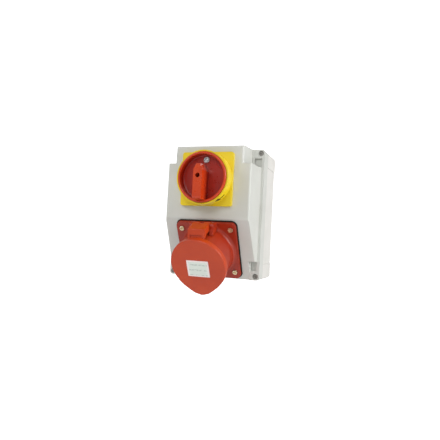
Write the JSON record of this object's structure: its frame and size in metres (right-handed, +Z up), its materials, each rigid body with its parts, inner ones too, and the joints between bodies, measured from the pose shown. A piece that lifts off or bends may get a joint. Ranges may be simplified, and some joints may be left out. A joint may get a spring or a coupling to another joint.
{
  "type": "rotary isolator switch",
  "caption": "Wall enclosure with a red and yellow lockable rotary isolator handle above and a round lidded industrial socket-outlet on its sloped lower front.",
  "frame": {"origin": "centre of the enclosure's back face, on the wall plane", "axes": "+X to the viewer's right, +Y into the wall, +Z up; the front faces -Y"},
  "size_m": [0.124, 0.1355, 0.194],
  "materials": {
    "enclosure_cover": "satin",
    "enclosure_base": "satin",
    "black_rubber": "matte",
    "yellow_plastic": "satin",
    "red_plastic": "satin",
    "socket_red": "satin",
    "dark_steel": "satin",
    "zinc_steel": "satin",
    "yellow_zinc_steel": "satin",
    "spring_steel": "satin",
    "contact_brass": "satin",
    "ivory_plastic": "matte",
    "dark_plastic": "matte",
    "label_film": "satin",
    "wire_brown": "satin",
    "wire_black": "satin",
    "wire_grey": "satin",
    "wire_blue": "satin",
    "wire_green_yellow": "satin"
  },
  "bodies": {
    "enclosure": {"cover": "enclosure_cover", "base_box": "enclosure_base", "entry_plug": "enclosure_base", "entry_locknut": "enclosure_base", "cover_gasket": "black_rubber", "front_plate_seal": "black_rubber", "socket_gasket": "black_rubber", "entry_plug_seal": "black_rubber", "front_plate": "yellow_plastic", "socket_housing": "socket_red", "cover_screws": "dark_steel", "switch_mounting_screws": "zinc_steel", "tie_bolts": "zinc_steel", "switch_terminal_screws": "zinc_steel", "carrier_screws": "zinc_steel", "contact_terminal_screws": "zinc_steel", "hinge_pin": "zinc_steel", "earth_terminal_screws": "zinc_steel", "socket_flange_screws": "yellow_zinc_steel", "contact_springs_left": "spring_steel", "contact_springs_right": "spring_steel", "lid_spring": "spring_steel", "fixed_contacts": "contact_brass", "phase_contacts": "contact_brass", "earth_contact": "contact_brass", "earth_terminal": "contact_brass", "switch_bearing_block": "dark_plastic", "detent_housing": "dark_plastic", "contact_stage_front": "dark_plastic", "contact_stage_rear": "dark_plastic", "switch_end_plate": "dark_plastic", "contact_carrier": "dark_plastic", "wire_l1": "wire_brown", "wire_l2": "wire_black", "wire_l3": "wire_grey", "wire_n": "wire_blue", "wire_pe": "wire_green_yellow"},
    "switch_handle": {"handle": "red_plastic", "handle_screw": "dark_steel", "lock_eyelet": "zinc_steel", "switch_shaft": "zinc_steel", "detent_wheel": "ivory_plastic", "switch_cams": "ivory_plastic"},
    "left_plungers": {"plungers_left": "ivory_plastic", "contact_bridges_left": "contact_brass"},
    "right_plungers": {"plungers_right": "ivory_plastic", "contact_bridges_right": "contact_brass"},
    "socket_lid": {"lid": "socket_red", "lid_seal": "black_rubber", "rating_label": "label_film"}
  },
  "joints": [
    {"name": "handle_turn", "type": "hinge", "parent": "enclosure", "child": "switch_handle", "pos_m": [0, -0.1, 0.0395], "axis": [0, 1, 0], "range_deg": [0, 90]},
    {"name": "left_contacts", "type": "slide", "parent": "enclosure", "child": "left_plungers", "axis": [1, 0, 0], "range_m": [0, 0.0025], "deforming": ["contact_springs_left"]},
    {"name": "right_contacts", "type": "slide", "parent": "enclosure", "child": "right_plungers", "axis": [-1, 0, 0], "range_m": [0, 0.0025], "deforming": ["contact_springs_right"]},
    {"name": "lid_hinge", "type": "hinge", "parent": "enclosure", "child": "socket_lid", "pos_m": [0, -0.11167, -0.0189], "axis": [-1, 0, 0], "range_deg": [0, 95], "stiffness_Nm_per_rad": 0.04, "springref_deg": -34.38, "deforming": ["lid_spring"]}
  ],
  "couplings": [
    {"joint": "left_contacts", "follows": "handle_turn", "m_per_rad": 0.0015915},
    {"joint": "right_contacts", "follows": "handle_turn", "m_per_rad": 0.0015915}
  ]
}
